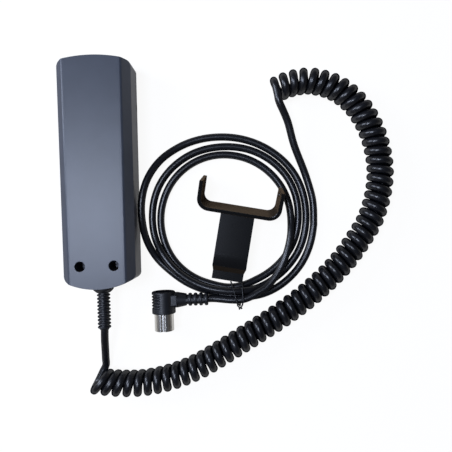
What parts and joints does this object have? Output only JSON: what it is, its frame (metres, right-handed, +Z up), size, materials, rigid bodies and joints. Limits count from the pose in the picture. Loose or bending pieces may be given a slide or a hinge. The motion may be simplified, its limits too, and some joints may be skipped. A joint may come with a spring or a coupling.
{
  "type": "corded hand control",
  "caption": "Pendant hand control with sprung buttons, a ribbed strain relief, a curly cord with a tied tail and right-angle round plug, and a separate clip-on holder.",
  "frame": {"origin": "middle of the handset's front face, which lies on the table", "axes": "+Y to the handset's top end, away from its cord; +Z up out of its back; +X to the right seen from above"},
  "size_m": [0.2237, 0.2287, 0.027],
  "materials": {
    "case_plastic": "satin dark blue-grey",
    "button_plastic": "satin charcoal",
    "silicone": "matt grey silicone",
    "board": "green lacquered laminate",
    "header": "natural nylon",
    "steel": "dark plated",
    "rubber": "satin black moulded",
    "cord": "satin black jacket",
    "wire": "coloured insulation",
    "tie": "black coated wire",
    "nickel": "bright nickel plate",
    "insert": "moulded black",
    "holder_plastic": "satin black moulded"
  },
  "bodies": {
    "handset": {"back_shell": "case_plastic", "front_shell": "case_plastic", "keypad_mat": "silicone", "circuit_board": "board", "wire_header": "header", "board_screw_upper": "steel", "board_screw_lower": "steel", "case_screw_left": "steel", "case_screw_right": "steel", "inner_wire_1": "wire", "inner_wire_2": "wire", "inner_wire_3": "wire", "inner_wire_4": "wire", "inner_wire_5": "wire", "strain_relief": "rubber", "cord_lead": "cord", "curly_cord": "cord", "cord_tail": "cord", "cord_loops": "cord", "cord_tie": "tie", "plug_overmould": "rubber", "plug_shell": "nickel", "plug_insert": "insert", "plug_pin_1": "nickel", "plug_pin_2": "nickel", "plug_pin_3": "nickel", "plug_pin_4": "nickel", "plug_pin_5": "nickel"},
    "upper_left_key": {"upper_left_button": "button_plastic"},
    "upper_right_key": {"upper_right_button": "button_plastic"},
    "lower_left_key": {"lower_left_button": "button_plastic"},
    "lower_right_key": {"lower_right_button": "button_plastic"},
    "holder": {"holder": "holder_plastic"}
  },
  "joints": [
    {"name": "upper_left_button_press", "type": "slide", "parent": "handset", "child": "upper_left_key", "axis": [0, 0, 1], "range_m": [0, 0.001], "stiffness_N_per_m": 1500, "springref_m": -0.0004, "deforming": ["keypad_mat"]},
    {"name": "upper_right_button_press", "type": "slide", "parent": "handset", "child": "upper_right_key", "axis": [0, 0, 1], "range_m": [0, 0.001], "stiffness_N_per_m": 1500, "springref_m": -0.0004, "deforming": ["keypad_mat"]},
    {"name": "lower_left_button_press", "type": "slide", "parent": "handset", "child": "lower_left_key", "axis": [0, 0, 1], "range_m": [0, 0.001], "stiffness_N_per_m": 1500, "springref_m": -0.0004, "deforming": ["keypad_mat"]},
    {"name": "lower_right_button_press", "type": "slide", "parent": "handset", "child": "lower_right_key", "axis": [0, 0, 1], "range_m": [0, 0.001], "stiffness_N_per_m": 1500, "springref_m": -0.0004, "deforming": ["keypad_mat"]},
    {"name": "holder_lift", "type": "slide", "parent": "handset", "child": "holder", "axis": [0, 0, 1], "range_m": [0, 0.06]}
  ]
}
